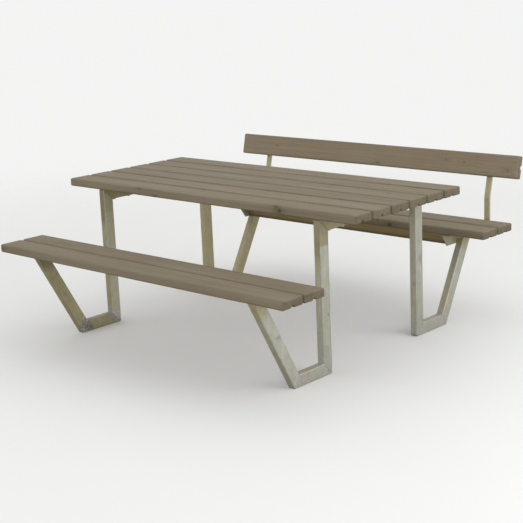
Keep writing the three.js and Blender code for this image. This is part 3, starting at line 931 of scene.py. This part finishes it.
def bent_path(corners, radius):
    """Points and directions along a line through corners that are rounded to a radius."""
    directions = [(b - a).normalized() for a, b in zip(corners, corners[1:])]
    path = [(corners[0], directions[0])]
    for i in range(1, len(corners) - 1):
        before, after = directions[i - 1], directions[i]
        turn = math.atan2(before.x * after.y - before.y * after.x, before.dot(after))
        sign = math.copysign(1, turn)
        setback = radius * math.tan(abs(turn) / 2)
        start = corners[i] - before * setback
        centre = start + Vector((-before.y, before.x)) * sign * radius
        for k in range(BEND_STEPS + 1):
            spin = Matrix.Rotation(turn * k / BEND_STEPS, 2)
            path.append((centre + spin @ (start - centre), spin @ before))
    path.append((corners[-1], directions[-1]))
    return path


def backrest_post(side, material):
    """A flat bar under the seat that turns up behind it and leans back at a kink."""
    node = f"{side}_backrest_post"
    low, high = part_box(node)
    half = POST_THICKNESS / 2
    arm_z = low.z + half
    tan_lean = math.tan(BACKREST_LEAN)
    top_z = high.z - half * math.sin(BACKREST_LEAN)
    top_y = high.y - half * math.cos(BACKREST_LEAN)
    kink_z = POST_KINK_Z - half * math.tan(BACKREST_LEAN / 2)
    post_y = top_y - (top_z - kink_z) * tan_lean
    corners = [Vector(at) for at in ((low.y, arm_z), (post_y, arm_z), (post_y, kink_z), (top_y, top_z))]
    x = (low.x + high.x) / 2
    section = rounded_rectangle(high.x - low.x, POST_THICKNESS, POST_CORNER, 4, 0.001)
    rings = []
    for at, direction in bent_path(corners, POST_BEND_RADIUS):
        across = Vector((-direction.y, direction.x))
        ring = []
        for point in section:
            spot = at + across * point.y
            ring.append(Vector((x + point.x, spot.x, spot.y)))
        rings.append(ring)
    dress(loft(node + "_steel", rings), material, "galvanised_flat_bar", node)


def screw(node, size, point, direction, length, material):
    """A coach screw with a flanged hexagon head. Its flange bears on the point."""
    def hexagon(radius):
        sixth = TAU / 6
        apothem = radius * math.cos(sixth / 2)
        return lambda turn: apothem / math.cos(turn % sixth - sixth / 2)

    def circle(radius):
        return lambda turn: radius

    head, height = size["head"], size["height"]
    flange = head + SCREW_FLANGE_LIP
    full = SCREW_FLANGE_HEIGHT / 2 + height
    flat_radius = head * math.cos(TAU / 12)
    domed = full - SCREW_EASE / 2
    profile = [
        (circle(SCREW_TIP_RADIUS), length),
        (circle(size["shank"]), length - SCREW_TIP),
        (circle(size["shank"]), 0.0),
        (circle(flange - SCREW_EASE), 0.0),
        (circle(flange), -1.5 * SCREW_EASE),
        (circle(flange - SCREW_EASE), -SCREW_FLANGE_HEIGHT * 0.7),
        (circle(head + SCREW_EASE), -SCREW_FLANGE_HEIGHT),
        (hexagon(head), -SCREW_FLANGE_HEIGHT - SCREW_EASE),
        (hexagon(head), -domed + SCREW_CHAMFER),
        (circle(flat_radius), -domed),
        (circle(flat_radius / 2), -full),
    ]
    turn = direction.to_track_quat("Z", "X").to_matrix()
    rings = []
    for reach, z in profile:
        ring = []
        for k in range(SCREW_SEGMENTS):
            a = k / SCREW_SEGMENTS * TAU
            r = reach(a)
            ring.append(point + turn @ Vector((r * math.cos(a), r * math.sin(a), z)))
        rings.append(ring)
    dress(loft(node + "_plated", rings), material, "zinc_plated_screws", node)


def screws(material):
    up = Vector((0, 0, 1))
    lean_up = Vector((0, math.sin(BACKREST_LEAN), math.cos(BACKREST_LEAN)))
    backwards = Vector((0, math.cos(BACKREST_LEAN), -math.sin(BACKREST_LEAN)))
    low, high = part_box("backrest_plank")
    plank_centre = (low + high) / 2
    behind_plank = BACKREST_THICKNESS / 2 + POST_THICKNESS + 2 * CLEARANCE
    for node in sorted(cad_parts):
        if "_screw_" not in node:
            continue
        low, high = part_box(node)
        kind = SEAT_SCREW if "_seat_screw_" in node else TABLE_SCREW
        if "_backrest_screw_" in node:
            along = BACKREST_WIDTH / 4 * (1 if node.endswith("2") else -1)
            bearing = plank_centre + backwards * behind_plank + lean_up * along
            bearing.x = (low.x + high.x) / 2
            screw(node, kind, bearing, -backwards, BACKREST_SCREW_LENGTH, material)
        else:
            bearing = (low + high) / 2
            bearing.z = low.z + SCREW_FLANGE_HEIGHT / 2 + kind["height"]
            screw(node, kind, bearing, up, high.z - bearing.z, material)


# ---- Assembly ----
TONES = (1.0, 1.03, 0.97, 1.02, 0.99, 1.02, 1.0, 1.01, 0.98, 1.0, 1.12)
GREYNESS = (0.45, 0.6, 0.5, 0.62, 0.48, 0.55, 0.45, 0.55, 0.5, 0.42, 0.4)
plank_nodes = [f"table_plank_{i}" for i in range(1, 7)]
plank_nodes += [f"{bench}_seat_plank_{i}" for bench in BENCHES for i in (1, 2)]
plank_nodes += ["backrest_plank"]
for index, (node, tone, greyness) in enumerate(zip(plank_nodes, TONES, GREYNESS)):
    plank(node, index, tone, greyness)
seat_rail()

tube_zinc = galvanised("galvanised_tube", metallic=0.35, run_scale=(70, 70, 7), plumb_painted_light=0.18)
bar_zinc = galvanised("galvanised_flat_bar", metallic=0.35, run_scale=(50, 50, 10), plumb_painted_light=0.02)
screw_zinc = zinc_plate()
for side in SIDES:
    beads = end_frame(side, tube_zinc)
    seat_plate(side, tube_zinc)
    seat_angle(side, tube_zinc)
    for bench in BENCHES:
        beads += seat_steel_beads(side, bench)
    bead_mesh(f"{side}_frame_welds", beads, tube_zinc)
    backrest_post(side, bar_zinc)
screws(screw_zinc)


# ---- Studio ----
BACKDROP = (0.90, 0.90, 0.895, 1)
FLOOR_REACH = 12.0
FLOOR_FADE = (2.2, 6.0)
SKY_STRENGTH = 0.86
SOFTBOX_AIM = (0, 0, 0.4)


def pale_floor():
    """A pale floor that fades into the backdrop, and throws little light back up."""
    reach = FLOOR_REACH
    mesh = bpy.data.meshes.new("floor")
    corners = [(-reach, -reach, 0), (reach, -reach, 0), (reach, reach, 0), (-reach, reach, 0)]
    mesh.from_pydata(corners, [], [(0, 1, 2, 3)])
    floor = bpy.data.objects.new("floor", mesh)
    bpy.context.scene.collection.objects.link(floor)
    g = Graph("floor")
    mottle = g.noise((3, 3, 3), 1, 3)
    seen = g.node("LightPath", {}).outputs["Is Camera Ray"]
    pale = g.mix(mottle, BACKDROP, (0.92, 0.92, 0.915, 1))
    color = g.mix(seen, (0.34, 0.32, 0.28, 1), pale)
    distance = g.length(g.position)
    g.feed(g.surface.inputs["Alpha"], g.spread(distance, *FLOOR_FADE, 1.0, 0.0, True))
    mesh.materials.append(g.finish(color, 0.0, 0.9, mottle, 0.0001))


def sky():
    """An overcast sky. The camera sees it as a plain pale backdrop."""
    world = bpy.data.worlds.new("sky")
    bpy.context.scene.world = world
    world.use_nodes = True
    nodes, links = world.node_tree.nodes, world.node_tree.links
    lit = nodes["Background"]
    lit.inputs["Color"].default_value = (1.0, 1.0, 0.995, 1)
    lit.inputs["Strength"].default_value = SKY_STRENGTH
    backdrop = nodes.new("ShaderNodeBackground")
    backdrop.inputs["Color"].default_value = BACKDROP
    seen = nodes.new("ShaderNodeLightPath")
    mix = nodes.new("ShaderNodeMixShader")
    links.new(seen.outputs["Is Camera Ray"], mix.inputs[0])
    links.new(lit.outputs[0], mix.inputs[1])
    links.new(backdrop.outputs[0], mix.inputs[2])
    links.new(mix.outputs[0], nodes["World Output"].inputs["Surface"])


def softbox(name, location, size, power, color):
    """A rectangular soft light that looks at the middle of the table."""
    light = bpy.data.lights.new(name, "AREA")
    light.shape = "RECTANGLE"
    light.size, light.size_y = size
    light.energy = power
    light.color = color
    lamp = bpy.data.objects.new(name, light)
    lamp.location = location
    lamp.rotation_mode = "QUATERNION"
    lamp.rotation_quaternion = (Vector(location) - Vector(SOFTBOX_AIM)).to_track_quat("Z", "Y")
    bpy.context.scene.collection.objects.link(lamp)


CAMERA_PLACE = (3.7153, -4.0112, 1.6610)
CAMERA_TURN = (42.304, -12.791, -2.312)
CAMERA_LENS = 81.22
CAMERA_SHIFT = (-0.0258, -0.0411)


def camera():
    """The view from the front right. The turn is yaw, pitch and roll, in degrees."""
    data = bpy.data.cameras.new("camera")
    data.lens = CAMERA_LENS
    data.shift_x, data.shift_y = CAMERA_SHIFT
    data.clip_end = 200
    yaw, pitch, roll = (math.radians(angle) for angle in CAMERA_TURN)
    level = Vector((-math.sin(yaw), math.cos(yaw), 0))
    forwards = level * math.cos(pitch) + Vector((0, 0, math.sin(pitch)))
    right = Vector((math.cos(yaw), math.sin(yaw), 0))
    up = right.cross(forwards)
    turned_right = math.cos(roll) * right + math.sin(roll) * up
    turned_up = -math.sin(roll) * right + math.cos(roll) * up
    place = Matrix((turned_right, turned_up, -forwards)).transposed().to_4x4()
    place.translation = CAMERA_PLACE
    lens = bpy.data.objects.new("camera", data)
    lens.matrix_world = place
    bpy.context.scene.collection.objects.link(lens)
    bpy.context.scene.camera = lens


pale_floor()
sky()
softbox("right", location=(5.0, 0.8, 1.5), size=(3.4, 2.6), power=94, color=(1, 1, 0.99))
softbox("front", location=(-1.0, -5.0, 1.2), size=(3.5, 2.0), power=26, color=(1, 1, 0.98))
camera()
bpy.context.scene.view_settings.view_transform = "Standard"
